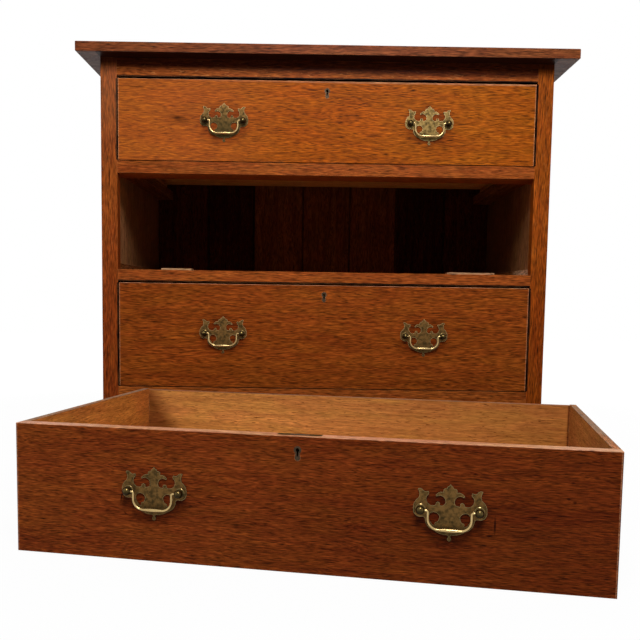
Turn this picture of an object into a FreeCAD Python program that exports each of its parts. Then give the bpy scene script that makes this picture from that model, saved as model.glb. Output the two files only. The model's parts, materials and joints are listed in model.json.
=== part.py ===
import FreeCAD, Part
import math
import os

Vec = FreeCAD.Vector

# Chest of three long drawers. X runs to the right, Y to the back and Z up, in millimetres.
# While it is modelled, X = 0 is the middle, Y = 0 is the face of the stiles and Z = 0 is the floor.

# Carcass
carcass_width = 900.0
carcass_depth = 490.0
side_thickness = 20.0
stile_width = 32.0
stile_depth = 22.0
stile_tongue_depth = 8.0
stile_tongue_thickness = 7.0

# Rails between the stiles, from the floor up
foot_space = 164.7
bottom_rail_height = 24.0
lower_rail_height = 23.0
upper_rail_height = 23.7
top_rail_height = 35.2
drawer_rail_depth = 75.0
tenon_length = 17.0
tenon_depth = 10.0
tenon_setback = 6.0
tenon_shoulder = 6.0

# Top board
top_thickness = 19.4
top_overhang_front = 39.0
top_overhang_side = 38.4
top_overhang_back = 4.0
top_edge_radius = 2.0

# Feet cut from the side planks
front_foot_length = 95.0
back_foot_length = 85.0
arch_height = 92.0

# Back of tongued vertical boards, with the widths from left to right
back_thickness = 10.0
back_rebate = 10.0
back_board_widths = (140.6, 118.8, 127.9, 122.0, 120.6, 125.9)
board_tongue = 4.0
board_tongue_thickness = 3.2
board_gap = 0.6
back_rail_depth = 22.0

# Runners, guides, kickers and stops
runner_width = 39.0
runner_thickness = 20.0
guide_height = 11.5
kicker_width = 34.0
stop_height = 4.2
stop_depth = 28.0
stop_left = (-334.0, -272.0)
stop_right = (252.0, 349.0)
stop_clearance = 0.3
glue_block_size = 28.0
glue_block_height = 110.0

# Screws up through the kickers into the top
screw_shank_radius = 2.2
screw_head_radius = 4.4
screw_head_height = 3.0
screw_bite = 11.0
screws_per_kicker = 3
screw_end_distance = 60.0

# Drawers: name, height of the front, gap above it
drawer_sizes = (
    ("bottom", 210.2, 3.6),
    ("middle", 188.8, 1.8),
    ("top", 159.0, 4.0),
)
gap_below = 1.6
gap_side = 1.4
running_clearance = 0.3
drawer_back_gap = 9.0
front_thickness = 20.0
drawer_side_thickness = 10.5
drawer_back_thickness = 12.0
drawer_back_drop = 2.5
front_edge_radius = 0.8
bottom_raise = 18.0
bottom_thickness = 7.0
groove_depth = 6.0
groove_play = 0.3
bottom_edge_play = 0.5

# Dovetails
dovetail_lap = 5.0
dovetail_pitch = 44.0
pin_tip = 5.0
half_pin = 6.0
dovetail_slope = 1.0 / 6.0

# Handles, with the height of each drawer's posts over the lower edge of its front
handle_spacing = 409.0
handle_height = {"bottom": 110.4, "middle": 101.0, "top": 79.0}
post_spacing = 76.2
post_ball_radius = 6.0
post_ball_reach = 12.8
post_neck_radius = 3.0
post_collar_radius = 6.8
post_collar_height = 1.2
collar_swell = (0.86, 0.42)
shank_radius = 2.4
shank_hole_play = 0.2
shank_end = 6.5
nut_radius = 8.0
nut_height = 4.0
thread_play = 0.05
plate_thickness = 1.8
bail_wire_radius = 1.6
bail_grip_radius = 2.4
bail_drop = 25.0
bail_inset = 10.0
bail_pin_length = 4.0
bail_pin_radius = 1.4
bail_pin_play = 0.1
pin_shoulder_gap = 0.5
bail_corner_radius = 14.5
bail_shoulder_radius = 2.6

# Locks
selvedge_length = 62.0
selvedge_width = 13.0
selvedge_thickness = 2.2
lock_case_width = 52.0
lock_case_height = 40.0
lock_case_depth = 11.0
bolt_width = 26.0
bolt_thickness = 5.0
bolt_height = 18.0
bolt_throw = 8.0
bolt_play = 0.3
bolt_mortise_play = 1.2
escutcheon_width = 10.6
escutcheon_height = 20.0
escutcheon_foot_width = 7.4
escutcheon_depth = 3.0
escutcheon_drop = 13.5
escutcheon_neck_share = 0.8
keyhole_radius = 2.7
keyhole_slot = 2.6
keyhole_slot_length = 8.8
key_swing_play = 1.5
lock_plate_thickness = 2.0
drill_pin_radius = 1.2
drill_pin_bite = 1.0

# Where the middle drawer stands on the floor: how far its front's middle is to the side, how near
# its rear corner comes to the face of the stiles, and its turn seen from above
standing_x = -39.0
standing_gap = 17.2
standing_turn = -11.06

# Levels worked out from the sizes above
half_width = carcass_width / 2.0
half_opening = half_width - stile_width
half_inner = half_width - side_thickness
back_face = carcass_depth - back_thickness
drawer_depth = back_face - drawer_back_gap
opening_height = {name: gap_below + height + gap for name, height, gap in drawer_sizes}
rail_top = {}
rail_top["bottom"] = foot_space + bottom_rail_height
rail_top["middle"] = rail_top["bottom"] + opening_height["bottom"] + lower_rail_height
rail_top["top"] = rail_top["middle"] + opening_height["middle"] + upper_rail_height
top_rail_under = rail_top["top"] + opening_height["top"]
top_under = top_rail_under + top_rail_height
runner_top = {name: level + gap_below - running_clearance for name, level in rail_top.items()}
drawer_half = half_opening - gap_side
ball_y = -(plate_thickness + post_ball_reach - post_ball_radius)

# The finished part is moved so that the middle of its footprint is the origin.
turn = math.radians(standing_turn)
turned_width = abs(math.sin(turn)) * drawer_half
standing_y = -standing_gap - turned_width - math.cos(turn) * drawer_depth
nearest = standing_y - turned_width
rearmost = carcass_depth + top_overhang_back
origin_y = (nearest + rearmost) / 2.0


def block(x, y, z):
    """A box between two limits on each axis."""
    size = Vec(x[1] - x[0], y[1] - y[0], z[1] - z[0])
    return Part.makeBox(size.x, size.y, size.z, Vec(x[0], y[0], z[0]))


def prism(points, direction):
    """A straight-sided outline, pushed along a direction."""
    wire = Part.makePolygon([Vec(*p) for p in points] + [Vec(*points[0])])
    return Part.Face(wire).extrude(Vec(*direction))


def rod(radius, start, direction, length):
    return Part.makeCylinder(radius, length, Vec(*start), Vec(*direction))


def ease(shape, radius, wanted):
    """Rounds the edges whose middle passes the test."""
    edges = [e for e in shape.Edges if wanted(e.CenterOfMass)]
    return shape.makeFillet(radius, edges)


def mirrored(shape):
    """The same piece on the other side of the middle."""
    return shape.mirror(Vec(0, 0, 0), Vec(1, 0, 0))


def is_at(value, level):
    return abs(value - level) < 0.01


# Carcass pieces

rail_levels = {
    "bottom_rail": (foot_space, rail_top["bottom"]),
    "lower_rail": (rail_top["middle"] - lower_rail_height, rail_top["middle"]),
    "upper_rail": (rail_top["top"] - upper_rail_height, rail_top["top"]),
    "top_rail": (top_rail_under, top_under),
}


def tenon(level):
    """The right-hand tenon of a rail, set in from its face, its top and its underside."""
    return block(
        (half_opening, half_opening + tenon_length),
        (tenon_setback, tenon_setback + tenon_depth),
        (level[0] + tenon_shoulder, level[1] - tenon_shoulder),
    )


def make_stile():
    """The right-hand stile: mortised for the rails and grooved for the side plank's tongue."""
    stile = block((half_opening, half_width), (0.0, stile_depth), (0.0, top_under))
    for level in rail_levels.values():
        stile = stile.cut(tenon(level))
    return stile.cut(side_tongue())


def side_tongue():
    middle = half_width - side_thickness / 2.0
    reach = stile_tongue_thickness / 2.0
    return block(
        (middle - reach, middle + reach),
        (stile_depth - stile_tongue_depth, stile_depth),
        (0.0, top_under),
    )


def make_side():
    """The right-hand side plank, with its arched foot and the rebate for the back."""
    plank = block((half_inner, half_width), (stile_depth, carcass_depth), (0.0, top_under))
    arch_front = stile_depth + front_foot_length
    arch_back = carcass_depth - back_foot_length
    arc = Part.Arc(
        Vec(half_inner, arch_front, 0.0),
        Vec(half_inner, (arch_front + arch_back) / 2.0, arch_height),
        Vec(half_inner, arch_back, 0.0),
    ).toShape()
    chord = Part.makeLine(Vec(half_inner, arch_back, 0.0), Vec(half_inner, arch_front, 0.0))
    arch = Part.Face(Part.Wire([arc, chord])).extrude(Vec(side_thickness, 0.0, 0.0))
    rebate = block(
        (half_inner, half_inner + back_rebate),
        (back_face, carcass_depth),
        (foot_space, top_under),
    )
    return plank.cut(arch).cut(rebate).fuse(side_tongue()).removeSplitter()


def make_drawer_rail(name):
    """A rail that reaches behind both stiles to the side planks, with a tenon at each end."""
    low, high = rail_levels[name]
    plan = [
        (-half_opening, 0.0, low),
        (half_opening, 0.0, low),
        (half_opening, stile_depth, low),
        (half_inner, stile_depth, low),
        (half_inner, drawer_rail_depth, low),
        (-half_inner, drawer_rail_depth, low),
        (-half_inner, stile_depth, low),
        (-half_opening, stile_depth, low),
    ]
    right = tenon(rail_levels[name])
    return prism(plan, (0.0, 0.0, high - low)).fuse([right, mirrored(right)]).removeSplitter()


def make_top_rail():
    low, high = rail_levels["top_rail"]
    right = tenon((low, high))
    rail = block((-half_opening, half_opening), (0.0, stile_depth), (low, high))
    return rail.fuse([right, mirrored(right)]).removeSplitter()


def make_top_board():
    """The overhanging top, with its edges eased above and below at the front and the ends."""
    x = half_width + top_overhang_side
    high = top_under + top_thickness
    board = block((-x, x), (-top_overhang_front, carcass_depth + top_overhang_back), (top_under, high))

    def eased(point):
        level = is_at(point.z, high) or is_at(point.z, top_under)
        outer = is_at(abs(point.x), x) or is_at(point.y, -top_overhang_front)
        return level and outer

    return ease(board, top_edge_radius, eased)


def make_back_rail(low, high):
    return block((-half_inner, half_inner), (back_face - back_rail_depth, back_face), (low, high))


def make_back_boards():
    """Upright boards, each with a tongue that fits the groove of the next one."""
    left = -half_inner - back_rebate
    edges = [left]
    for width in back_board_widths:
        edges.append(edges[-1] + width)
    edges.append(half_inner + back_rebate)
    middle = back_face + back_thickness / 2.0
    tongue_y = (middle - board_tongue_thickness / 2.0, middle + board_tongue_thickness / 2.0)
    height = (foot_space, top_under)
    boards = []
    for index in range(len(edges) - 1):
        is_last = index == len(edges) - 2
        right_edge = edges[index + 1] if is_last else edges[index + 1] - board_gap
        board = block((edges[index], right_edge), (back_face, carcass_depth), height)
        if not is_last:
            tongue = block((right_edge, right_edge + board_tongue), tongue_y, height)
            board = board.fuse(tongue).removeSplitter()
        if index > 0:
            groove_end = edges[index] + board_tongue
            board = board.cut(block((edges[index], groove_end), tongue_y, height))
        boards.append(board)
    return boards


def make_runners():
    """One runner each side under every drawer, from its rail to the back."""
    runners = []
    for name, level in runner_top.items():
        end = back_face - back_rail_depth if name == "bottom" else back_face
        right = block(
            (half_inner - runner_width, half_inner),
            (drawer_rail_depth, end),
            (level - runner_thickness, level),
        )
        runners += [mirrored(right), right]
    return runners


def make_guides():
    """The strips on the runners that keep each drawer straight, in line with the stiles."""
    guides = []
    for name, level in runner_top.items():
        right = block(
            (half_opening, half_inner),
            (stile_depth, back_face),
            (level, level + guide_height),
        )
        guides += [mirrored(right), right]
    return guides


def make_kickers():
    right = block(
        (half_inner - kicker_width, half_inner),
        (stile_depth, back_face - back_rail_depth),
        (top_rail_under, top_under),
    )
    return [mirrored(right), right]


def make_screws():
    """Countersunk screws, heads flush with the underside of the kickers."""
    x = half_inner - kicker_width / 2.0
    first = stile_depth + screw_end_distance
    last = back_face - back_rail_depth - screw_end_distance
    step = (last - first) / (screws_per_kicker - 1)
    screws = []
    for index in range(screws_per_kicker):
        y = first + step * index
        head = Part.makeCone(
            screw_head_radius, screw_shank_radius, screw_head_height, Vec(x, y, top_rail_under)
        )
        length = top_rail_height + screw_bite - screw_head_height
        shank = rod(screw_shank_radius, (x, y, top_rail_under + screw_head_height), (0, 0, 1), length)
        screw = head.fuse(shank).removeSplitter()
        screws += [mirrored(screw), screw]
    return screws


def make_stops():
    """Blocks on each drawer rail that stop the front flush with the stiles."""
    y = front_thickness + stop_clearance
    stops = []
    for level in rail_top.values():
        for ends in (stop_left, stop_right):
            stops.append(block(ends, (y, y + stop_depth), (level, level + stop_height)))
    return stops


def make_glue_blocks():
    """Square blocks in the four lower corners, under the bottom rails."""
    x = (half_inner - glue_block_size, half_inner)
    z = (foot_space - glue_block_height, foot_space)
    front = block(x, (stile_depth, stile_depth + glue_block_size), z)
    back = block(x, (back_face - glue_block_size, back_face), z)
    return [front, mirrored(front), back, mirrored(back)]


# Drawer pieces, each made with the drawer's front face at Y = 0 and its lower edge at Z = 0


def dovetails(y_tip, y_root, low, high):
    """Tails of the right-hand side: wide at the tip, narrow at the root, evenly spaced."""
    span = high - low - 2.0 * half_pin
    count = max(2, round(span / dovetail_pitch))
    wide = (span - (count - 1) * pin_tip) / count
    lean = abs(y_root - y_tip) * dovetail_slope
    inner = drawer_half - drawer_side_thickness
    tails = []
    for index in range(count):
        base = low + half_pin + index * (wide + pin_tip)
        outline = [
            (inner, y_tip, base),
            (inner, y_tip, base + wide),
            (inner, y_root, base + wide - lean),
            (inner, y_root, base + lean),
        ]
        tails.append(prism(outline, (drawer_side_thickness, 0.0, 0.0)))
    return tails


def back_low():
    return bottom_raise + bottom_thickness


def front_tails(height):
    return dovetails(dovetail_lap, front_thickness, 0.0, height)


def back_tails(height):
    root = drawer_depth - drawer_back_thickness
    return dovetails(drawer_depth, root, back_low(), height - drawer_back_drop)


def bottom_groove(play):
    """The space of the bottom board in its grooves, or with play the board itself."""
    x = drawer_half - drawer_side_thickness + groove_depth - play * bottom_edge_play
    front = front_thickness - groove_depth + play * bottom_edge_play
    height = bottom_thickness + (1.0 - play) * groove_play
    return block((-x, x), (front, drawer_depth), (bottom_raise, bottom_raise + height))


def make_drawer_side(height):
    """The right-hand side: dovetailed into the front and the back, and grooved for the bottom."""
    root = drawer_depth - drawer_back_thickness
    x = (drawer_half - drawer_side_thickness, drawer_half)
    plank = block(x, (front_thickness, root), (0.0, height))
    toe = block(x, (root, drawer_depth), (0.0, back_low()))
    side = plank.fuse([toe] + front_tails(height) + back_tails(height)).removeSplitter()
    return side.cut(bottom_groove(0.0))


def make_drawer_back(height):
    back = block(
        (-drawer_half, drawer_half),
        (drawer_depth - drawer_back_thickness, drawer_depth),
        (back_low(), height - drawer_back_drop),
    )
    tails = back_tails(height)
    return back.cut(tails + [mirrored(t) for t in tails])


def keyhole_height(height):
    return height - escutcheon_drop - escutcheon_width / 2.0


def keyhole(height, depth):
    """A round hole over a straight slot, cut back from the front face."""
    middle = keyhole_height(height)
    slot = keyhole_slot
    round_hole = rod(keyhole_radius, (0.0, -1.0, middle), (0, 1, 0), depth + 1.0)
    straight = block((-slot / 2.0, slot / 2.0), (-1.0, depth), (middle - keyhole_slot_length, middle))
    return round_hole.fuse(straight)


def escutcheon_blank(height):
    """The outline of the inlaid escutcheon: a round head over a tapered foot with a round end."""
    radius = escutcheon_width / 2.0
    foot = escutcheon_foot_width / 2.0
    middle = keyhole_height(height)
    low = height - escutcheon_drop - escutcheon_height
    neck = foot * escutcheon_neck_share
    neck_z = middle - math.sqrt(radius**2 - neck**2)
    outline = [
        Part.Arc(Vec(-neck, 0.0, neck_z), Vec(0.0, 0.0, middle + radius), Vec(neck, 0.0, neck_z)),
        Part.LineSegment(Vec(neck, 0.0, neck_z), Vec(foot, 0.0, low + foot)),
        Part.Arc(Vec(foot, 0.0, low + foot), Vec(0.0, 0.0, low), Vec(-foot, 0.0, low + foot)),
        Part.LineSegment(Vec(-foot, 0.0, low + foot), Vec(-neck, 0.0, neck_z)),
    ]
    wire = Part.Wire([piece.toShape() for piece in outline])
    return Part.Face(wire).extrude(Vec(0.0, escutcheon_depth, 0.0))


def make_escutcheon(height):
    return escutcheon_blank(height).cut(keyhole(height, escutcheon_depth))


def lock_blank(height):
    """The lock case on the inside of the front, joined to the selvedge on its top edge."""
    half = selvedge_length / 2.0
    selvedge = block(
        (-half, half),
        (front_thickness - selvedge_width, front_thickness),
        (height - selvedge_thickness, height),
    )
    case = block(
        (-lock_case_width / 2.0, lock_case_width / 2.0),
        (front_thickness - lock_case_depth, front_thickness),
        (height - lock_case_height, height - selvedge_thickness),
    )
    return case.fuse(selvedge).removeSplitter()


def bolt_place(height):
    """The limits of the bolt at rest, with its top flush with the selvedge."""
    y = front_thickness - lock_case_depth / 2.0
    return (
        (-bolt_width / 2.0, bolt_width / 2.0),
        (y - bolt_thickness / 2.0, y + bolt_thickness / 2.0),
        (height - bolt_height, height),
    )


def grown(limits, play, rise):
    """The same limits with play all round, and a rise above."""
    x, y, z = limits
    return block((x[0] - play, x[1] + play), (y[0] - play, y[1] + play), (z[0] - play, z[1] + rise))


def make_lock(height):
    """The lock, with the slot that its bolt rises through, its keyhole and the pin for the key."""
    limits = bolt_place(height)
    hollow = front_thickness - lock_plate_thickness
    pin_start = front_thickness - lock_case_depth + drill_pin_bite
    pin_length = hollow + drill_pin_bite - pin_start
    pin = rod(drill_pin_radius, (0.0, pin_start, keyhole_height(height)), (0, 1, 0), pin_length)
    bolt_space = grown(limits, bolt_play, 1.0)
    return lock_blank(height).cut(keyhole(height, hollow)).fuse(pin).removeSplitter().cut(bolt_space)


def make_bolt(height):
    """The bolt, notched underneath for the key."""
    swing = rod(keyhole_radius + key_swing_play, (0.0, 0.0, keyhole_height(height)), (0, 1, 0), front_thickness)
    return block(*bolt_place(height)).cut(swing)


def post_places(z):
    """Where the four posts of a drawer's handles go, at a height."""
    places = []
    for side in (-1.0, 1.0):
        for end in (-1.0, 1.0):
            places.append((side * handle_spacing / 2.0 + end * post_spacing / 2.0, z))
    return places


def make_front(height, handle_z):
    """The front: sockets for the tails, groove for the bottom, and seats for lock and handles."""
    front = block((-drawer_half, drawer_half), (0.0, front_thickness), (0.0, height))
    front = ease(front, front_edge_radius, lambda point: is_at(point.y, 0.0))
    tails = front_tails(height)
    front = front.cut(tails + [mirrored(t) for t in tails])
    front = front.cut(bottom_groove(0.0)).cut(lock_blank(height)).cut(escutcheon_blank(height))
    front = front.cut(keyhole(height, front_thickness))
    hole = shank_radius + shank_hole_play
    holes = [rod(hole, (x, -1.0, z), (0, 1, 0), front_thickness + 2.0) for x, z in post_places(handle_z)]
    return front.cut(holes)


# Half of the pierced backplate, to the right of its middle and from the post line: a start,
# then the middle and the end of each arc, from the top finial round to the drop below.
plate_start = (0.0, 34.8)
plate_arcs = (
    ((1.3, 32.8), (3.7, 31.3)),
    ((3.9, 29.9), (4.6, 28.7)),
    ((7.4, 28.4), (8.9, 25.9)),
    ((8.9, 24.6), (8.3, 23.5)),
    ((13.4, 23.5), (17.8, 20.3)),
    ((18.6, 18.8), (17.3, 17.8)),
    ((9.4, 18.0), (6.0, 12.2)),
    ((8.0, 6.6), (13.6, 6.2)),
    ((15.2, 10.4), (18.2, 6.6)),
    ((24.0, 5.4), (29.0, 8.4)),
    ((31.0, 13.6), (29.4, 18.6)),
    ((27.6, 21.4), (28.6, 24.2)),
    ((32.2, 23.4), (35.4, 25.2)),
    ((38.4, 27.3), (42.0, 26.6)),
    ((39.8, 20.6), (41.0, 14.6)),
    ((46.2, 8.4), (47.6, 0.0)),
    ((44.8, -8.0), (37.6, -10.6)),
    ((33.6, -10.8), (31.8, -13.4)),
    ((28.4, -22.4), (20.2, -27.6)),
    ((11.8, -31.8), (3.0, -33.0)),
    ((1.4, -34.4), (2.6, -37.4)),
    ((1.8, -40.2), (0.0, -41.2)),
)
hole_start = (13.4, -8.2)
hole_arcs = (
    ((18.4, -3.6), (25.0, -4.6)),
    ((27.2, -11.0), (24.0, -17.4)),
    ((21.6, -20.4), (18.2, -20.6)),
    ((18.9, -17.6), (16.2, -16.4)),
    ((13.8, -12.6), (13.4, -8.2)),
)


def arc_edges(start, arcs, side):
    """The arcs of an outline as edges in the upright plane, on the right or the left."""
    edges = []
    here = start
    for middle, end in arcs:
        points = [Vec(side * u, 0.0, v) for u, v in (here, middle, end)]
        edges.append(Part.Arc(*points).toShape())
        here = end
    return edges


def make_plate():
    """The pierced backplate, standing on the drawer's face, its middle at the origin."""
    edges = arc_edges(plate_start, plate_arcs, 1.0) + arc_edges(plate_start, plate_arcs, -1.0)
    rim = Part.Wire(Part.__sortEdges__(edges))
    outward = Vec(0.0, -plate_thickness, 0.0)
    plate = Part.Face(rim).extrude(outward)
    for side in (1.0, -1.0):
        opening = Part.Wire(Part.__sortEdges__(arc_edges(hole_start, hole_arcs, side)))
        plate = plate.cut(Part.Face(opening).extrude(outward))
        start = (side * post_spacing / 2.0, -plate_thickness - 1.0, 0.0)
        plate = plate.cut(rod(shank_radius + shank_hole_play, start, (0, 1, 0), plate_thickness + 2.0))
    return plate


def make_post(x, z, inward):
    """One post: ball head, waisted neck, collar on the plate, and a shank through the front."""
    face = -plate_thickness
    collar = face - post_collar_height
    ball = math.sqrt(post_ball_radius**2 - post_neck_radius**2)
    end = front_thickness + shank_end
    profile = [
        Part.Arc(
            Vec(0.0, ball_y - post_ball_radius, 0.0),
            Vec(post_ball_radius, ball_y, 0.0),
            Vec(post_neck_radius, ball_y + ball, 0.0),
        ).toShape(),
        Part.makeLine(Vec(post_neck_radius, ball_y + ball, 0.0), Vec(post_neck_radius, collar, 0.0)),
        Part.Arc(
            Vec(post_neck_radius, collar, 0.0),
            Vec(post_collar_radius * collar_swell[0], collar + post_collar_height * collar_swell[1], 0.0),
            Vec(post_collar_radius, face, 0.0),
        ).toShape(),
        Part.makeLine(Vec(post_collar_radius, face, 0.0), Vec(shank_radius, face, 0.0)),
        Part.makeLine(Vec(shank_radius, face, 0.0), Vec(shank_radius, end, 0.0)),
        Part.makeLine(Vec(shank_radius, end, 0.0), Vec(0.0, end, 0.0)),
        Part.makeLine(Vec(0.0, end, 0.0), Vec(0.0, ball_y - post_ball_radius, 0.0)),
    ]
    post = Part.Face(Part.Wire(profile)).revolve(Vec(0, 0, 0), Vec(0, 1, 0), 360)
    depth = bail_pin_length + bail_pin_play
    socket_start = (inward * (post_ball_radius - depth), ball_y, 0.0)
    socket = rod(bail_pin_radius + bail_pin_play, socket_start, (inward, 0, 0), depth + 1.0)
    post = post.cut(socket)
    post.translate(Vec(x, 0.0, z))
    return post


def make_posts(handle_z):
    posts = []
    for index, (x, z) in enumerate(post_places(handle_z)):
        inward = 1.0 if index % 2 == 0 else -1.0
        posts.append(make_post(x, z, inward))
    return posts


def make_nuts(handle_z):
    """Round nuts on the shanks, inside the drawer."""
    nuts = []
    for x, z in post_places(handle_z):
        nut = rod(nut_radius, (x, front_thickness, z), (0, 1, 0), nut_height)
        nut = nut.cut(rod(shank_radius + thread_play, (x, 0.0, z), (0, 1, 0), front_thickness * 2.0))
        nuts.append(nut)
    return nuts


def make_bail():
    """The bail, hanging from its two pins: a bent wire whose grip swells in the middle."""
    half = post_spacing / 2.0
    drop_x = half - bail_inset
    corner = bail_corner_radius
    shoulder = bail_shoulder_radius
    bend = 1.0 - math.sqrt(0.5)
    grip_half = drop_x - corner
    right = [
        (half - post_ball_radius + bail_pin_length, 0.0),
        (drop_x + shoulder, 0.0),
        (drop_x + shoulder * bend, -shoulder * bend),
        (drop_x, -shoulder),
        (drop_x, -bail_drop + corner),
        (drop_x - corner * bend, -bail_drop + corner * bend),
        (grip_half, -bail_drop),
    ]
    right = [Vec(x, 0.0, z) for x, z in right]
    left = [Vec(-point.x, 0.0, point.z) for point in reversed(right)]
    path = Part.Wire(
        [
            Part.makeLine(right[0], right[1]),
            Part.Arc(*right[1:4]).toShape(),
            Part.makeLine(right[3], right[4]),
            Part.Arc(*right[4:7]).toShape(),
            Part.makeLine(right[6], left[0]),
            Part.Arc(*left[0:3]).toShape(),
            Part.makeLine(left[2], left[3]),
            Part.Arc(*left[3:6]).toShape(),
            Part.makeLine(left[5], left[6]),
        ]
    )
    section = Part.Wire(Part.makeCircle(bail_wire_radius, right[0], Vec(1, 0, 0)))
    wire = path.makePipeShell([section], True, True)
    swell = [
        Part.Arc(
            Vec(-grip_half, 0.0, bail_wire_radius),
            Vec(0.0, 0.0, bail_grip_radius),
            Vec(grip_half, 0.0, bail_wire_radius),
        ).toShape(),
        Part.makeLine(Vec(grip_half, 0.0, bail_wire_radius), Vec(grip_half, 0.0, 0.0)),
        Part.makeLine(Vec(grip_half, 0.0, 0.0), Vec(-grip_half, 0.0, 0.0)),
        Part.makeLine(Vec(-grip_half, 0.0, 0.0), Vec(-grip_half, 0.0, bail_wire_radius)),
    ]
    grip = Part.Face(Part.Wire(swell)).revolve(Vec(0, 0, 0), Vec(1, 0, 0), 360)
    grip.translate(Vec(0.0, 0.0, -bail_drop))
    bail = wire.fuse(grip).removeSplitter()
    turned_from = half - post_ball_radius - pin_shoulder_gap
    for side in (1.0, -1.0):
        start = (side * turned_from, 0.0, 0.0)
        sleeve = rod(bail_wire_radius + 1.0, start, (side, 0, 0), post_ball_radius)
        bail = bail.cut(sleeve.cut(rod(bail_pin_radius, start, (side, 0, 0), post_ball_radius)))
    return bail


def placed(shapes, name):
    """A drawer's pieces moved home, or for the middle one to where it stands on the floor."""
    shapes = shapes if isinstance(shapes, list) else [shapes]
    moved = []
    for shape in shapes:
        shape = shape.copy()
        if name == "middle":
            shape.rotate(Vec(0, 0, 0), Vec(0, 0, 1), standing_turn)
            shape.translate(Vec(standing_x, standing_y, 0.0))
        else:
            shape.translate(Vec(0.0, 0.0, rail_top[name] + gap_below))
        moved.append(shape)
    return moved


def bolt_mortise(name, height):
    """The hole over a closed drawer's bolt, in the rail above it."""
    limits = bolt_place(height)
    play = bolt_mortise_play
    base = rail_top[name] + gap_below + height
    x, y, z = limits
    return block(
        (x[0] - play, x[1] + play),
        (y[0] - play, y[1] + play),
        (base, base + bolt_throw + play),
    )


# The whole chest

nodes = {}

right_side = make_side()
right_stile = make_stile()
nodes["side_left"] = [mirrored(right_side)]
nodes["side_right"] = [right_side]
nodes["stile_left"] = [mirrored(right_stile)]
nodes["stile_right"] = [right_stile]

screws = make_screws()
nodes["screws"] = screws
nodes["kickers"] = [kicker.cut(screws) for kicker in make_kickers()]
nodes["top_board"] = [make_top_board().cut(screws)]

mortises = {name: bolt_mortise(name, height) for name, height, gap in drawer_sizes}
nodes["top_rail"] = [make_top_rail().cut(mortises["top"])]
nodes["upper_rail"] = [make_drawer_rail("upper_rail").cut(mortises["middle"])]
nodes["lower_rail"] = [make_drawer_rail("lower_rail").cut(mortises["bottom"])]
nodes["bottom_rail"] = [make_drawer_rail("bottom_rail")]
nodes["back_rail_top"] = [make_back_rail(top_rail_under, top_under)]
nodes["back_rail_bottom"] = [make_back_rail(foot_space, rail_top["bottom"])]
nodes["back_boards"] = make_back_boards()
nodes["runners"] = make_runners()
nodes["guides"] = make_guides()
nodes["drawer_stops"] = make_stops()
nodes["glue_blocks"] = make_glue_blocks()

plate = make_plate()
bail = make_bail()
for name, height, gap in drawer_sizes:
    right = make_drawer_side(height)
    z = handle_height[name]
    nodes[f"{name}_front"] = placed(make_front(height, z), name)
    nodes[f"{name}_side_left"] = placed(mirrored(right), name)
    nodes[f"{name}_side_right"] = placed(right, name)
    nodes[f"{name}_back"] = placed(make_drawer_back(height), name)
    nodes[f"{name}_bottom"] = placed(bottom_groove(1.0), name)
    nodes[f"{name}_lock"] = placed(make_lock(height), name)
    nodes[f"{name}_bolt"] = placed(make_bolt(height), name)
    nodes[f"{name}_escutcheon"] = placed(make_escutcheon(height), name)
    nodes[f"{name}_posts"] = placed(make_posts(z), name)
    nodes[f"{name}_nuts"] = placed(make_nuts(z), name)
    for side, word in ((-1.0, "left"), (1.0, "right")):
        this_plate = plate.copy()
        this_plate.translate(Vec(side * handle_spacing / 2.0, 0.0, z))
        this_bail = bail.copy()
        this_bail.translate(Vec(side * handle_spacing / 2.0, ball_y, z))
        nodes[f"{name}_plate_{word}"] = placed(this_plate, name)
        nodes[f"{name}_bail_{word}"] = placed(this_bail, name)

os.makedirs("parts", exist_ok=True)
for name, shapes in nodes.items():
    shape = shapes[0] if len(shapes) == 1 else Part.makeCompound(shapes)
    shape.translate(Vec(0.0, -origin_y, 0.0))
    shape.exportStep(f"parts/{name}.step")
    print(f"{name}: {len(shape.Solids)} solid(s), {shape.Volume / 1000.0:.1f} cm3, valid {shape.isValid()}")

print(f"{len(nodes)} nodes; chest frame to part frame: Y - {origin_y:.3f} mm")
for name, level in rail_top.items():
    print(f"rail top under the {name} drawer: {level:.2f} mm")
print(f"underside of the top: {top_under:.2f} mm, ball height from the face: {ball_y:.2f} mm")
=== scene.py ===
import json
import math

import bmesh
import bpy
from bpy.props import FloatProperty, FloatVectorProperty, PointerProperty, StringProperty
from mathutils import Euler, Matrix, Vector


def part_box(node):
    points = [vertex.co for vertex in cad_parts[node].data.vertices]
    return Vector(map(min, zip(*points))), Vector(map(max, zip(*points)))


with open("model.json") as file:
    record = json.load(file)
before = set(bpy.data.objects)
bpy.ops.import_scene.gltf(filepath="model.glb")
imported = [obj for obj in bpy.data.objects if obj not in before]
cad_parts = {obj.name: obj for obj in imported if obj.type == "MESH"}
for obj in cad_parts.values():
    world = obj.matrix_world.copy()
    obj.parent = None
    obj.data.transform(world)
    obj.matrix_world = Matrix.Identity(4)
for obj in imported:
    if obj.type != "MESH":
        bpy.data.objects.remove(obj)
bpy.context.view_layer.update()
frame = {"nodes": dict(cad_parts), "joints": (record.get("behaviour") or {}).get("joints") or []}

bl_info = {
    "name": "Chest of three long drawers",
    "version": (1, 0, 0),
    "blender": (4, 5, 0),
    "location": "View3D > Sidebar > Chest",
    "description": "Finishes the oak, pine, brass and steel of the chest and sets its studio",
    "category": "Object",
}

MM = 0.001


def linear(code):
    """An sRGB hex colour as linear RGBA."""
    parts = [int(code[i : i + 2], 16) / 255.0 for i in (1, 3, 5)]
    return tuple(c / 12.92 if c <= 0.04045 else ((c + 0.055) / 1.055) ** 2.4 for c in parts) + (1.0,)


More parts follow.
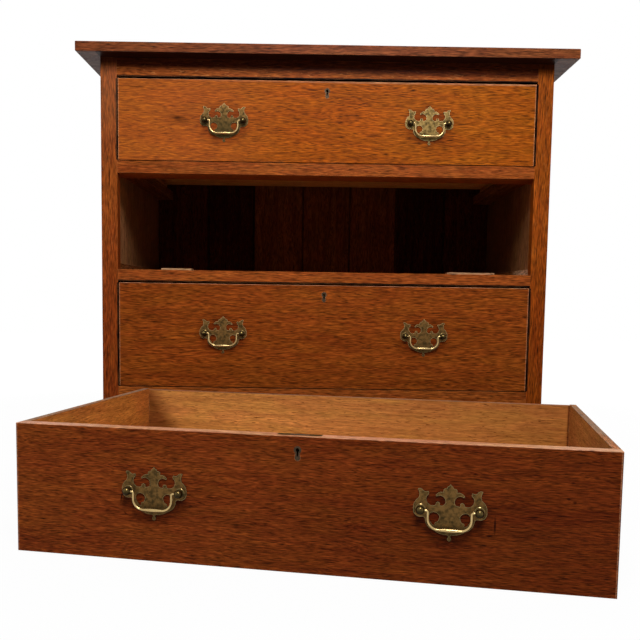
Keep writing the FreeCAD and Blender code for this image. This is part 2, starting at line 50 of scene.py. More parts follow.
# Places taken from the frame
JOINTS = {joint["name"]: joint for joint in frame["joints"]}
FACE_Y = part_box("stile_right")[0].y
HALF_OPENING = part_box("stile_right")[0].x
HALF_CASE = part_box("side_right")[1].x
HALF_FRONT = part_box("top_front")[1].x
HALF_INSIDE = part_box("top_side_right")[0].x


def standing_frame():
    """Turn and place of the middle drawer, from its two bail joints: X along its front, origin at
    the middle of its lower front edge."""
    left = Vector(JOINTS["middle_bail_left_swing"]["pos_m"])
    right = Vector(JOINTS["middle_bail_right_swing"]["pos_m"])
    along = (right - left).normalized()
    home = Vector(JOINTS["top_bail_left_swing"]["pos_m"])
    behind = Vector((-along.y, along.x, 0.0))
    middle = (left + right) / 2.0 + behind * (FACE_Y - home.y)
    angle = math.atan2(along.y, along.x)
    return angle, Vector((middle.x, middle.y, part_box("middle_front")[0].z))


STANDING_TURN, STANDING_PLACE = standing_frame()


class OakSettings(bpy.types.PropertyGroup):
    left_light: StringProperty(name="Left, light", description="Pale tone, left side", default="#9A4E1D")
    left_dark: StringProperty(name="Left, dark", description="Dark tone, left side", default="#75330E")
    right_light: StringProperty(name="Right, light", description="Pale, right side", default="#A25214")
    right_dark: StringProperty(name="Right, dark", description="Dark, right side", default="#7C370B")
    rail_light: StringProperty(name="Rails, light", description="Pale tone of the rails", default="#A65822")
    rail_dark: StringProperty(name="Rails, dark", description="Dark tone of the rails", default="#763511")
    top_light: StringProperty(name="Top, light", description="Pale tone of the top", default="#884B29")
    top_dark: StringProperty(name="Top, dark", description="Dark tone of the top", default="#5C2B15")
    bare_light: StringProperty(name="Bare, light", description="Pale, unwaxed oak", default="#D3924C")
    bare_dark: StringProperty(name="Bare, dark", description="Dark, unwaxed oak", default="#AB6E38")
    floor_light: StringProperty(name="Bottoms, light", description="Pale, bottoms", default="#F0BC7C")
    floor_dark: StringProperty(name="Bottoms, dark", description="Dark, bottoms", default="#CC904E")
    pore_width: FloatProperty(
        name="Pore width", description="Width of a pore line across the grain", default=0.0011, unit="LENGTH"
    )
    streak_width: FloatProperty(
        name="Streak width", description="Width of a grain streak", default=0.0034, unit="LENGTH"
    )


class FrontSettings(bpy.types.PropertyGroup):
    top_light: StringProperty(name="Top, light", description="Pale, top front", default="#AA5A12")
    top_dark: StringProperty(name="Top, dark", description="Dark, top front", default="#86400A")
    bottom_light: StringProperty(name="Bottom, light", description="Pale, bottom front", default="#994E17")
    bottom_dark: StringProperty(name="Bottom, dark", description="Dark, bottom front", default="#6C2E0B")
    middle_light: StringProperty(name="Middle, light", description="Pale, middle front", default="#974A1B")
    middle_dark: StringProperty(name="Middle, dark", description="Dark, middle front", default="#67290E")
    # Halo round each handle: dark wax with the backplate's shadow painted in
    halo: FloatVectorProperty(
        name="Dark wax", description="Half its width and half its height", default=(0.064, 0.05), size=2
    )


class PineSettings(bpy.types.PropertyGroup):
    frame_light: StringProperty(name="Runners, light", description="Pale, runners", default="#8A5830")
    frame_dark: StringProperty(name="Runners, dark", description="Dark, runners", default="#5E3218")
    board_light: StringProperty(name="Back, light", description="Pale tone of the boards", default="#8C5A34")
    board_dark: StringProperty(name="Back, dark", description="Dark tone of the boards", default="#5C321B")
    stop_light: StringProperty(name="Stops, light", description="Newer wood of the stops", default="#C9A27A")
    stop_dark: StringProperty(name="Stops, dark", description="Grain of the stops", default="#A07650")


class BrassSettings(bpy.types.PropertyGroup):
    plate_colour: StringProperty(name="Plate", description="Aged face of the plates", default="#6A4E2A")
    plate_yellow: StringProperty(name="Yellow plate", description="Plate that aged least", default="#725C34")
    # Plate edges: brass polished by wear, with a painted highlight
    plate_bright: StringProperty(name="Plate edge", description="Rubbed edges of plates", default="#BCA474")
    plate_dim_edge: StringProperty(name="Dull edge", description="Edges, standing plates", default="#94835A")
    post_colour: StringProperty(name="Posts", description="Turned brass of the posts", default="#5A4A2A")
    bail_colour: StringProperty(name="Bail", description="Brass kept bright by hands", default="#BEA26E")
    edge_width: FloatProperty(name="Rubbed edge", description="Its width", default=0.0011, unit="LENGTH")


class StageSettings(bpy.types.PropertyGroup):
    camera_place: FloatVectorProperty(
        name="Camera", description="Place", default=(-0.01881, -1.535475, 0.37345), subtype="TRANSLATION"
    )
    camera_yaw: FloatProperty(name="Yaw", description="Turn to the left", default=-0.0036, subtype="ANGLE")
    camera_pitch: FloatProperty(name="Pitch", description="Tilt up", default=-0.0863, subtype="ANGLE")
    camera_roll: FloatProperty(name="Roll", description="Lean to the right", default=-0.0150, subtype="ANGLE")
    camera_lens: FloatProperty(name="Lens", description="Focal length in mm", default=44.367)
    camera_shift: FloatVectorProperty(
        name="Shift", description="Lens shift, right and up", default=(0.00538, 0.07339), size=2
    )
    key_power: FloatProperty(name="Key", description="Power of the key lamp in watts", default=34.5)
    side_power: FloatProperty(name="Sides", description="Power of each side lamp in watts", default=12.0)
    back_power: FloatProperty(name="Back", description="Power of the lamp behind in watts", default=26.0)
    world_level: FloatProperty(name="World", description="Light from all round", default=0.13)
    floor_shade: FloatProperty(
        name="Floor shade", description="Share of the floor that takes shadow", default=0.12, subtype="FACTOR"
    )
    floor_glow: FloatProperty(name="Floor glow", description="Strength of its own white", default=1.09)


def settings(name):
    """A group of settings, kept on the scene."""
    return getattr(bpy.context.scene, name)


# Nodes

# Settings of the kinds of node that are used most
MIXED = {"output": 2, "data_type": "RGBA"}
MULTIPLIED = MIXED | {"blend_type": "MULTIPLY"}
SMOOTH = {"interpolation_type": "SMOOTHSTEP"}


def connect(tree, target, inputs):
    """Sets each input of a node to a value, or links it to a socket."""
    for key, value in inputs.items():
        if isinstance(value, bpy.types.NodeSocket):
            tree.links.new(value, target.inputs[key])
        else:
            target.inputs[key].default_value = value


def node(tree, kind, inputs=None, output=0, **values):
    """Adds a shader node, sets its values and inputs, and gives one of its outputs."""
    made = tree.nodes.new(f"ShaderNode{kind}")
    for name, value in values.items():
        setattr(made, name, value)
    connect(tree, made, inputs or {})
    return made.outputs[output] if made.outputs else None


# Patterns


def product(tree, *shares):
    """Several shares multiplied. A share that is None is left out."""
    result, *others = [share for share in shares if share is not None]
    for share in others:
        result = node(tree, "Math", {0: result, 1: share}, operation="MULTIPLY")
    return result


def swing(tree, pattern, reach, middle=0.0):
    """A noise between 0 and 1, made to swing by a reach about a middle value."""
    inputs = {0: pattern, 1: reach, 2: middle - reach / 2.0}
    return node(tree, "Math", inputs, operation="MULTIPLY_ADD")


def noise(tree, vector, size, seed=0.0, unit=1.0, detail=2.0, roughness=0.5, distortion=0.0):
    """Noise whose features have a real size along each axis, in metres or in units of a width."""
    scale = tuple(1.0 / (length * unit) for length in size)
    space = node(tree, "Mapping", {"Vector": vector, "Scale": scale, "Location": (seed,) * 3})
    inputs = {"Vector": space, "Scale": 1.0, "Detail": detail}
    return node(tree, "TexNoise", inputs | {"Roughness": roughness, "Distortion": distortion})


def spot(tree, vector, place, size, lean=0.0, core=0.35):
    """A soft oval on a face: 1 inside its core and 0 outside. Place and size are across and up."""
    inputs = {
        "Vector": vector,
        "Location": (place[0], 0.0, place[1]),
        "Rotation": (0.0, lean, 0.0),
        "Scale": (size[0], 1.0, size[1]),
    }
    inside = node(tree, "Mapping", inputs, vector_type="TEXTURE")
    flat = node(tree, "VectorMath", {0: inside, 1: (1.0, 0.0, 1.0)}, operation="MULTIPLY")
    reach = node(tree, "VectorMath", {0: flat}, output="Value", operation="LENGTH")
    return node(tree, "MapRange", {0: reach, 1: 1.0, 2: core}, **SMOOTH)


# How alike the rounded and the flat normal are where a pale edge starts, and where it is full
EDGE_LEVELS = (0.99, 0.88)


def edge_mask(tree, width, samples):
    """1 on an edge, where the rounded normal leaves the flat one, and 0 elsewhere."""
    soft = node(tree, "Bevel", {"Radius": width}, samples=samples)
    flat = node(tree, "NewGeometry", output="Normal")
    same = node(tree, "VectorMath", {0: soft, 1: flat}, output="Value", operation="DOT_PRODUCT")
    start, full = EDGE_LEVELS
    return node(tree, "MapRange", {0: same, 1: start, 2: full}, **SMOOTH)


def new_material(name):
    """An empty material with its shader and output joined."""
    material = bpy.data.materials.new(name)
    material.use_nodes = True
    tree = material.node_tree
    tree.nodes.clear()
    surface = node(tree, "BsdfPrincipled")
    node(tree, "OutputMaterial", {"Surface": surface})
    return material, tree, surface.node


def give(piece, material):
    """Puts a material on a CAD node in place of its packed one."""
    mesh = frame["nodes"][piece].data
    if mesh.materials:
        mesh.materials[0] = material
    else:
        mesh.materials.append(material)


# Wood

ALONG_X = Euler((0.0, 0.0, 0.0))
ALONG_Y = Euler((0.0, 0.0, math.pi / 2.0))
ALONG_Z = Euler((0.0, -math.pi / 2.0, 0.0))

# Sizes of the grain's features in metres: along the board, across it and through it
DRIFT_SIZE = (0.16, 0.03, 0.03)
BAND_SIZE = (0.4, 0.06, 0.04)
PATCH_SIZE = (0.11, 0.028, 0.028)
FLECK_SIZE = (0.014, 0.02, 0.004)
RUB_SIZE = (0.03, 0.03, 0.03)
DUST_SIZE = (0.09, 0.02, 0.02)
WOOD_EDGE = 1.6 * MM

# The same for the fine features, in widths of a streak or of a pore
STREAK_WIDTHS = (16.0, 1.3, 1.0)
PORE_WIDTHS = (13.0, 1.2, 1.0)
DASH_WIDTHS = (16.0, 1.2, 1.2)

# How far broad bands and fine streaks swing the tone between dark and light
BAND_SWING = 0.9
STREAK_SWING = 2.2

# Levels of noise between which patches, flecks, rubbed places and dust come in
PATCH_LEVELS = (0.38, 0.62)
FLECK_LEVELS = (0.6, 0.74)
RUB_LEVELS = (0.4, 0.62)
DUST_LEVELS = (0.42, 0.6)

# Pores filled with wax are shallow. Those of bare wood are fewer, deeper and darker.
FILLED = {"depth": 0.35, "low": 0.54, "high": 0.68, "dash": 3.0}
OPEN = {"depth": 0.9, "low": 0.62, "high": 0.7, "dash": 1.3}

# What pores and streaks add to the height of the grain, and what that adds to its roughness
PORE_RISE = -0.6
STREAK_RISE = 0.4
GRAIN_ROUGHENS = 0.12

# Tints of broad patches, where old stain has gone redder and where it has gone yellower
RED_PATCH = (1.02, 0.955, 1.0, 1.0)
OCHRE_PATCH = (1.0, 1.035, 0.97, 1.0)

PORE_SHADE = "#7A5040"
FLECK_TONE = "#C98448"
# Painted shade, black: the gaps round the drawers, and inside the keyhole
PAINTED_SHADE_BLACK = "#1C0E0C"
# Painted shadow of the top, on the top rail and the stiles' upper ends
TOP_SHADOW_SHADE = "#6A443A"


def wavering(tree, vector, seed, waver):
    """A board's coordinates pushed across the grain by a slow drift, so that no line runs straight."""
    push = swing(tree, noise(tree, vector, DRIFT_SIZE, seed), waver * 2.0)
    across = node(tree, "CombineXYZ", {1: push, 2: push})
    return node(tree, "VectorMath", {0: vector, 1: across}, operation="ADD")


def wood_grain(tree, vector, seed, light, dark, streak, pore, flecks=0.0, waver=0.006, pores=FILLED):
    """Grain of a sawn board whose length is X. Gives its colour and its height.

    Real pores are a quarter of a millimetre wide. They are drawn coarser, or the picture loses them.
    Dashes, patches and rays add a step to the seed, so that they don't follow the other patterns.
    """
    space = wavering(tree, vector, seed, waver)
    bands = noise(tree, space, BAND_SIZE, seed)
    streaks = noise(tree, space, STREAK_WIDTHS, seed, unit=streak, detail=3.0, roughness=0.65)
    holes = noise(tree, space, PORE_WIDTHS, seed, unit=pore, detail=1.5, roughness=0.6)
    dashes = noise(tree, space, DASH_WIDTHS, seed + 1.0, unit=pore, detail=1.0)
    patches = noise(tree, space, PATCH_SIZE, seed + 5.0)

    inputs = {0: swing(tree, bands, BAND_SWING, 0.5), 1: swing(tree, streaks, STREAK_SWING)}
    tone = node(tree, "Math", inputs, operation="ADD", use_clamp=True)
    colour = node(tree, "Mix", {0: tone, 6: linear(dark), 7: linear(light)}, **MIXED)

    pits = node(tree, "MapRange", {0: holes, 1: pores["low"], 2: pores["high"]}, **SMOOTH)
    inputs = {0: product(tree, pits, pores["depth"]), 6: colour, 7: linear(PORE_SHADE)}
    colour = node(tree, "Mix", inputs, **MULTIPLIED)
    inputs = {0: colour, "Scale": swing(tree, dashes, pores["dash"], 1.0)}
    colour = node(tree, "VectorMath", inputs, operation="SCALE")

    low, high = PATCH_LEVELS
    aged = node(tree, "MapRange", {0: patches, 1: low, 2: high}, **SMOOTH)
    tint = node(tree, "Mix", {0: aged, 6: RED_PATCH, 7: OCHRE_PATCH}, **MIXED)
    colour = node(tree, "Mix", {0: 1.0, 6: colour, 7: tint}, **MULTIPLIED)
    if flecks:
        rays = noise(tree, space, FLECK_SIZE, seed + 7.0, detail=1.0, distortion=1.2)
        low, high = FLECK_LEVELS
        shine = node(tree, "MapRange", {0: rays, 1: low, 2: high}, **SMOOTH)
        inputs = {0: product(tree, shine, flecks), 6: colour, 7: linear(FLECK_TONE)}
        colour = node(tree, "Mix", inputs, **MIXED)

    inputs = {0: pits, 1: PORE_RISE, 2: product(tree, streaks, STREAK_RISE)}
    height = node(tree, "Math", inputs, operation="MULTIPLY_ADD")
    return colour, height


class Wood:
    """One board's material while it is made: grain first, then stains, then its finish."""

    def __init__(self, name, place, turn, seed, light, dark, streak=None, pore=None, **kind):
        oak = settings("chest_oak")
        self.seed = seed
        self.pore = pore or oak.pore_width
        self.material, self.tree, self.shader = new_material(name)
        self.chest = node(self.tree, "TexCoord", output="Object")
        inputs = {"Vector": self.chest, "Location": place, "Rotation": turn}
        self.vector = node(self.tree, "Mapping", inputs, vector_type="TEXTURE")
        sizes = (streak or oak.streak_width, self.pore)
        self.colour, self.height = wood_grain(self.tree, self.vector, seed, light, dark, *sizes, **kind)

    def axis(self, index):
        """Place on the board, with X along its grain."""
        return node(self.tree, "SeparateXYZ", {0: self.vector}, output=index)

    def place(self, index):
        """Place in the whole chest."""
        return node(self.tree, "SeparateXYZ", {0: self.chest}, output=index)

    def away(self, place, origin=0.0):
        """How far a place is from an origin, to either side."""
        if origin:
            place = node(self.tree, "Math", {0: place, 1: origin}, operation="SUBTRACT")
        return node(self.tree, "Math", {0: place}, operation="ABSOLUTE")

    def fade(self, place, limits, origin=0.0):
        """0 at the first limit, 1 at the second and smooth between. Limits are from the origin."""
        first, second = limits
        inputs = {0: place, 1: origin + first, 2: origin + second}
        return node(self.tree, "MapRange", inputs, **SMOOTH)

    def band(self, place, limits, soft, origin=0.0):
        """1 between two limits and 0 outside. Limits are from the origin."""
        low, high = (origin + limit for limit in limits)
        after = self.fade(place, (low - soft, low + soft))
        return product(self.tree, after, self.fade(place, (high + soft, high - soft)))

    def grain(self, light, dark, streak=6.0 * MM):
        """A second grain in the same place, for a part of the board that looks otherwise."""
        return wood_grain(self.tree, self.vector, self.seed + 3.0, light, dark, streak, self.pore)[0]

    def cover(self, colour, *shares, depth=None, blend="MIX"):
        """Puts another colour over the wood where all the shares are 1, as strongly as its depth."""
        inputs = {0: product(self.tree, *shares, depth), 6: self.colour, 7: colour}
        self.colour = node(self.tree, "Mix", inputs, **MIXED, blend_type=blend)

    def stain(self, shade, *shares, depth=None):
        """Darkens by a shade, as wax and dirt do."""
        self.cover(linear(shade), *shares, depth=depth, blend="MULTIPLY")

    def finish(self, gloss, roughness, relief, pale_edge):
        """Rubs the edges paler in places, and joins colour, roughness and relief to the shader."""
        tree = self.tree
        places = self.fade(noise(tree, self.chest, RUB_SIZE), RUB_LEVELS)
        self.cover(linear(pale_edge), edge_mask(tree, WOOD_EDGE, samples=4), places, depth=0.55)
        inputs = {0: self.height, 1: GRAIN_ROUGHENS, 2: roughness}
        rough = node(tree, "Math", inputs, operation="MULTIPLY_ADD")
        bump = node(tree, "Bump", {"Strength": 0.5, "Distance": relief, "Height": self.height})
        inputs = {"Base Color": self.colour, "Roughness": rough, "Normal": bump}
        connect(tree, self.shader, inputs | gloss)
        return self.material

    def waxed(self, pale_edge="#B87440"):
        """Stained and waxed: a deep tone with a weak sheen, because the wax has dried out."""
        gloss = {"IOR": 1.5, "Specular IOR Level": 0.04}
        return self.finish(gloss, roughness=0.42, relief=0.25 * MM, pale_edge=pale_edge)

    def bare(self, pale_edge="#B58A66"):
        """Left from the plane or the saw: pale, matt and dry."""
        gloss = {"IOR": 1.45, "Specular IOR Level": 0.02}
        return self.finish(gloss, roughness=0.7, relief=0.3 * MM, pale_edge=pale_edge)


# Boards of the case: the seed of each one's grain, and how much its ray flecks show
CASE_BOARDS = {
    "stile_left": (3.0, 0.1),
    "stile_right": (8.0, 0.1),
    "side_left": (11.0, 0.0),
    "side_right": (15.0, 0.0),
    "top_rail": (21.0, 0.5),
    "upper_rail": (24.0, 0.12),
    "lower_rail": (27.0, 0.12),
    "bottom_rail": (30.0, 0.12),
    "top_board": (41.0, 0.08),
}

# Painted shade of the gaps round the drawers, in black: on a stile out from the edge of the opening, and on a
# rail up from its lower edge
STILE_GAP_SHADE = (2.4 * MM, 1.6 * MM)
RAIL_GAP_SHADE = (2.6 * MM, 1.6 * MM)

# Heights in metres between which a stile darkens downwards, a painted shade where the light falls off towards
# the floor, and the left one pales upwards
STILE_DARKENS = (0.55, 0.3)
STILE_PALES = (0.6, 0.8)
STILE_DARKNESS = {"left": 0.55, "right": 0.42}

# Shares of the top rail's height between which the painted shadow of the top comes in on a stile and on that
# rail, and how much lower it reaches on the rail for each metre to the right
STILE_TOP_SHADOW = (0.6, 0.8)
RAIL_TOP_SHADOW = (0.16, 0.56)
TOP_SHADOW_SLOPE = 0.012

# A plank's inner side, out from the edge of the opening, and the depths behind the stiles' face between which
# painted light comes in by the front, and between which painted shade comes in towards the back
PLANK_INSIDE = (15.0 * MM, 13.0 * MM)
PLANK_LIT = (90.0 * MM, 25.0 * MM)
PLANK_SHADED = (60.0 * MM, 260.0 * MM)
PLANK_SHADE_DEPTH = {"left": 0.5, "right": 0.8}

# The top's lower side, up from it, and where the painted shadow beneath the top stops, out from the case
TOP_BENEATH = (1.2 * MM, 0.3 * MM)
TOP_SHADOW_ENDS = (2.0 * MM, -2.0 * MM)


class CHEST_OT_case(bpy.types.Operator):
    """Finish the oak of the case: stiles, side planks, rails and top"""

    bl_idname = "chest.case"
    bl_label = "Oak case"

    def execute(self, context):
        oak = settings("chest_oak")
        for side in ("left", "right"):
            tones = (getattr(oak, f"{side}_light"), getattr(oak, f"{side}_dark"))
            self.stile(side, tones)
            self.side_plank(side, tones)
        for piece in ("top_rail", "upper_rail", "lower_rail", "bottom_rail"):
            self.rail(piece, (oak.rail_light, oak.rail_dark))
        self.top(oak)
        return {"FINISHED"}

    def board(self, piece, name, turn, tones):
        """Plain oak for a board of the case, with the seed and the flecks of its own."""
        seed, flecks = CASE_BOARDS[piece]
        return Wood(name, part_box(piece)[0], turn, seed, *tones, flecks=flecks)

    def stile(self, side, tones):
        """Oak, stained and waxed, with painted shade: darker towards the floor where the light falls off,
        black along the openings where the gaps are, and dark under the top where its shadow falls.
        """
        piece = f"stile_{side}"
        wood = self.board(piece, f"Oak, stained and waxed, {side} stile", ALONG_Z, tones)
        height = wood.place(2)
        # Painted shade of the gaps, black by the opening beside each drawer
        by_opening = wood.fade(wood.away(wood.place(0)), STILE_GAP_SHADE, HALF_OPENING)
        for front in ("top_front", "bottom_front"):
            lower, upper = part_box(front)
            beside = wood.band(height, (lower.z, upper.z), soft=0.5 * MM)
            wood.stain(PAINTED_SHADE_BLACK, by_opening, beside)
        # Painted shade: darker towards the floor, where the light falls off
        wood.stain("#D8B8A8", wood.fade(height, STILE_DARKENS), depth=STILE_DARKNESS[side])
        if side == "left":
            wood.cover(linear("#B4805E"), wood.fade(height, STILE_PALES), depth=0.12)
        # Painted shadow of the top
        lower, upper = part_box("top_rail")
        limits = [(upper.z - lower.z) * share for share in STILE_TOP_SHADOW]
        wood.stain(TOP_SHADOW_SHADE, wood.fade(height, limits, lower.z), depth=0.75)
        give(piece, wood.waxed())

    def rail(self, piece, tones):
        """Oak, stained and waxed: painted black shade lies along the lower edge of a rail above a drawer,
        where the gap is.
        """
        low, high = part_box(piece)
        wood = self.board(piece, f"Oak, stained and waxed, {piece}", ALONG_X, tones)
        # Painted shade of the gap above a drawer
        if piece in ("top_rail", "lower_rail"):
            wood.stain(PAINTED_SHADE_BLACK, wood.fade(wood.axis(2), RAIL_GAP_SHADE))
        if piece == "top_rail":
            self.shadow_under_top(wood, high.z - low.z)
        give(piece, wood.waxed())

    def shadow_under_top(self, wood, rise):
        """Painted shadow of the top, close under it. It reaches lower on the right."""
        inputs = {0: wood.place(0), 1: TOP_SHADOW_SLOPE, 2: wood.axis(2)}
        level = node(wood.tree, "Math", inputs, operation="MULTIPLY_ADD")
        limits = [rise * share for share in RAIL_TOP_SHADOW]
        wood.stain(TOP_SHADOW_SHADE, wood.fade(level, limits), depth=0.85)

    def side_plank(self, side, tones):
        """Oak, waxed outside and bare inside: the inside has painted light by the front and painted shade at
        the back."""
        piece = f"side_{side}"
        wood = self.board(piece, f"Oak, waxed outside and bare inside, {side}", ALONG_Z, tones)
        depth = wood.place(1)
        inside = wood.fade(wood.away(wood.place(0)), PLANK_INSIDE, HALF_OPENING)
        wood.cover(wood.grain("#B68355", "#815330"), inside)
        # Painted light by the front of the inner side
        painted_light = wood.fade(depth, PLANK_LIT, FACE_Y)
        wood.cover(wood.grain("#D6A878", "#A87848"), painted_light, inside, depth=0.6)
        # Painted shade towards the back of the inner side
        painted_shade = wood.fade(depth, PLANK_SHADED, FACE_Y)
        wood.stain("#8A7468", painted_shade, inside, depth=PLANK_SHADE_DEPTH[side])
        give(piece, wood.waxed())

    def top(self, oak):
        """Oak, waxed above and bare beneath: grey below at the ends, and dark brown between the sides as
        painted shadow."""
        tones = (oak.top_light, oak.top_dark)
        wood = self.board("top_board", "Oak, waxed above and bare beneath", ALONG_X, tones)
        beneath = wood.fade(wood.axis(2), TOP_BENEATH)
        wood.cover(wood.grain("#927A70", "#5C4842", streak=12.0 * MM), beneath)
        # Painted shadow beneath the top, between the sides
        shadow_beneath = wood.fade(wood.away(wood.place(0)), TOP_SHADOW_ENDS, HALF_CASE)
        wood.cover(wood.grain("#3A1C10", "#24100A"), beneath, shadow_beneath)
        give("top_board", wood.waxed(pale_edge="#8E5836"))


# Grain of each drawer front: its seed, and the width of its pores
FRONT_GRAIN = {"top": (51.0, 1.1 * MM), "bottom": (61.0, 1.1 * MM), "middle": (71.0, 0.8 * MM)}

# Places along a front in metres from its middle, between which the middle one darkens as painted shade and
# the top one reddens, and the stretch of the top one that has yellowed
MIDDLE_DARKENS = (-0.42, 0.42)
TOP_REDDENS = (-0.05, -0.3)
TOP_YELLOWED = (-0.12, 0.12)

# How far the middle of the dark halo round a handle, old wax with the backplate's painted shadow, lies below
# the handle's posts
HALO_DROP = 6.0 * MM

# Depths behind a front's face between which bare wood comes in, and painted black shade in the keyhole
BARE_BEHIND = (0.6 * MM, 1.8 * MM)
KEYHOLE_BEHIND = (0.5 * MM, 1.2 * MM)

# Wood pale with wear at a front's upper edge, and a painted highlight as a line below it on the top drawer,
# which comes in between two places along it
WORN_ABOVE = (-0.9 * MM, -0.3 * MM)
HIGHLIGHT_LINE = (-3.2 * MM, -1.0 * MM)
HIGHLIGHT_LINE_STARTS = (-0.35, 0.15)

# Painted highlight as a pale line, and painted black shade of the gap, from the end of a front, and the sides
# of the keyhole from its middle
HIGHLIGHT_ENDS = (-2.4 * MM, -1.0 * MM)
GAP_SHADE_ENDS = (-1.1 * MM, -0.7 * MM)
KEYHOLE_SIDES = (9.0 * MM, 7.0 * MM)

# Marks on the faces of the drawers in millimetres, from the middle of the lower edge: across, up,
# half width, half height, lean in degrees and depth of the stain
MARKS = {
    "top": (
        (-298.0, 84.0, 14.0, 6.0, 8.0, 0.75),
        (-292.0, 80.0, 34.0, 14.0, -6.0, 0.4),
        (-29.0, 141.5, 22.0, 1.6, 4.0, 0.9),
        (-385.0, 143.0, 34.0, 1.8, 2.0, 0.6),
    ),
    "middle": (
        (-254.0, 90.0, 1.5, 13.0, 8.0, 0.95),
        (-248.0, 67.0, 5.0, 1.8, 35.0, 0.8),
        (-160.0, 83.0, 12.0, 10.0, 0.0, 0.45),
        (262.5, 84.0, 2.2, 17.0, 0.0, 0.95),
        (256.0, 70.0, 8.0, 2.6, -6.0, 0.95),
        (385.7, 153.4, 6.0, 2.0, 0.0, 0.6),
        (357.4, 145.8, 4.0, 2.4, 0.0, 0.7),
        (352.7, 124.8, 4.0, 2.4, 0.0, 0.85),
        (360.3, 120.4, 4.0, 2.4, 0.0, 0.85),
    ),
    "bottom": (
        (-402.0, 207.0, 9.0, 2.0, 0.0, 0.8),
    ),
}


class CHEST_OT_fronts(bpy.types.Operator):
    """Finish the drawer fronts: waxed faces with their marks, bare edges and insides"""

    bl_idname = "chest.fronts"
    bl_label = "Drawer fronts"

    def execute(self, context):
        for drawer in FRONT_GRAIN:
            self.front(drawer, settings("chest_fronts"))
        return {"FINISHED"}

    def front(self, drawer, fronts):
        """Oak, waxed face and bare edges: old wax and painted shadow round the handles, painted highlights
        and shade at the edges, and knots, cracks and dents.
        """
        low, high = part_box(f"{drawer}_front")
        place, turn = Vector((0.0, FACE_Y, low.z)), ALONG_X
        if drawer == "middle":
            place, turn = STANDING_PLACE, Euler((0.0, 0.0, STANDING_TURN))
        tones = (getattr(fronts, f"{drawer}_light"), getattr(fronts, f"{drawer}_dark"))
        seed, pore = FRONT_GRAIN[drawer]
        name = f"Oak, waxed face and bare edges, {drawer}"
        wood = Wood(name, place, turn, seed, *tones, pore=pore, waver=0.009)
        self.stain_and_shade(wood, drawer)
        self.halos(wood, drawer, place.z, fronts.halo)
        self.marks(wood, drawer)
        self.edges(wood, drawer, high.z - low.z)
        self.keyhole(wood, drawer)
        give(f"{drawer}_front", wood.waxed(pale_edge="#C98A5C"))

    def stain_and_shade(self, wood, drawer):
        """The middle front is darker to the right, as painted shade. The top one is redder on the left, and
        yellower in the middle."""
        along = wood.axis(0)
        if drawer == "middle":
            # Painted shade, darker to the right
            wood.stain("#A89088", wood.fade(along, MIDDLE_DARKENS), depth=0.66)
        if drawer == "top":
            wood.cover(linear("#D06C42"), wood.fade(along, TOP_REDDENS), depth=0.14)
            wood.stain("#FFE4A8", wood.band(along, TOP_YELLOWED, soft=0.08), depth=0.45)

    def halos(self, wood, drawer, base, size):
        """Dark wax that a cloth leaves round each backplate, with the backplate's shadow painted in."""
        left, right = (JOINTS[f"{drawer}_bail_{side}_swing"]["pos_m"] for side in ("left", "right"))
        apart = (Vector(right) - Vector(left)).length
        up = left[2] - base - HALO_DROP
        for side in (-1.0, 1.0):
            share = spot(wood.tree, wood.vector, (side * apart / 2.0, up), size, core=0.55)
            # Dark wax with the backplate's shadow painted in
            wood.stain("#A88078", share, depth=0.55)

    def marks(self, wood, drawer):
        """Knots, cracks and dents in the face."""
        for across, up, width, height, lean, depth in MARKS[drawer]:
            place, size = (across * MM, up * MM), (width * MM, height * MM)
            share = spot(wood.tree, wood.vector, place, size, lean=math.radians(lean), core=0.1)
            wood.stain("#4A3026", share, depth=depth)

    def edges(self, wood, drawer, rise):
        """Bare wood behind the face, an upper edge pale with wear, painted highlights as a pale line down the
        sides of the face and below the top drawer's upper edge, and painted black shade of the gap at the
        ends.
        """
        up = wood.axis(2)
        out = wood.away(wood.axis(0))
        pale_edge = wood.grain("#DAA27A", "#B2724E", streak=5.0 * MM)
        behind = wood.fade(wood.axis(1), BARE_BEHIND)
        wood.cover(wood.grain("#B67644", "#8A5029", streak=5.0 * MM), behind)
        wood.cover(pale_edge, wood.fade(up, WORN_ABOVE, rise))
        # Painted highlight: a pale line down the sides of the face
        wood.cover(pale_edge, wood.band(out, HIGHLIGHT_ENDS, 0.3 * MM, HALF_FRONT), depth=0.45)
        if drawer == "top":
            # Painted highlight: a line below the upper edge
            line = wood.band(up, HIGHLIGHT_LINE, 0.6 * MM, rise)
            wood.cover(pale_edge, line, wood.fade(wood.axis(0), HIGHLIGHT_LINE_STARTS), depth=0.55)
        # Painted shade of the gap, black at the ends
        if drawer != "middle":
            wood.stain(PAINTED_SHADE_BLACK, wood.fade(out, GAP_SHADE_ENDS, HALF_FRONT))

    def keyhole(self, wood, drawer):
        """Painted shade: black on the wood seen inside the keyhole."""
        lower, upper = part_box(f"{drawer}_escutcheon")
        level = wood.band(wood.place(2), (lower.z, upper.z), soft=1.0 * MM)
        behind = wood.fade(wood.axis(1), KEYHOLE_BEHIND)
        sides = wood.fade(wood.away(wood.axis(0)), KEYHOLE_SIDES)
        # Painted shade inside the keyhole
        wood.stain(PAINTED_SHADE_BLACK, level, behind, sides, depth=0.95)


# Linings: the seed of each drawer's grain, and what each of its parts adds to it
LINING_SEEDS = {"top": 81.0, "middle": 90.0, "bottom": 99.0}
LINING_STEPS = {"side_left": 9.0, "side_right": 10.0, "back": 4.0, "bottom": 6.0}

# Shades multiplied over the standing drawer's two sides, a different one on each
INSIDE_SHADES = {"middle_side_left": "#F2E4D2", "middle_side_right": "#E4E8F4"}

# Browned edge of a side or a back, from its top
BROWNED_ABOVE = (-0.8 * MM, -0.2 * MM)

# Painted shadow in the left corner of the standing drawer's back: its reach from the corner, and how much
# less that is for each metre up
CORNER_SHADOW = (130.0 * MM, 85.0 * MM)
CORNER_SLOPE = 0.6

# Right end of that back: where it darkens as painted shade, from the middle, and its dark joint, from the
# corner
END_DARKENS = (-0.2, HALF_INSIDE + 0.1)
DARK_JOINT = (-4.0 * MM, -1.5 * MM)


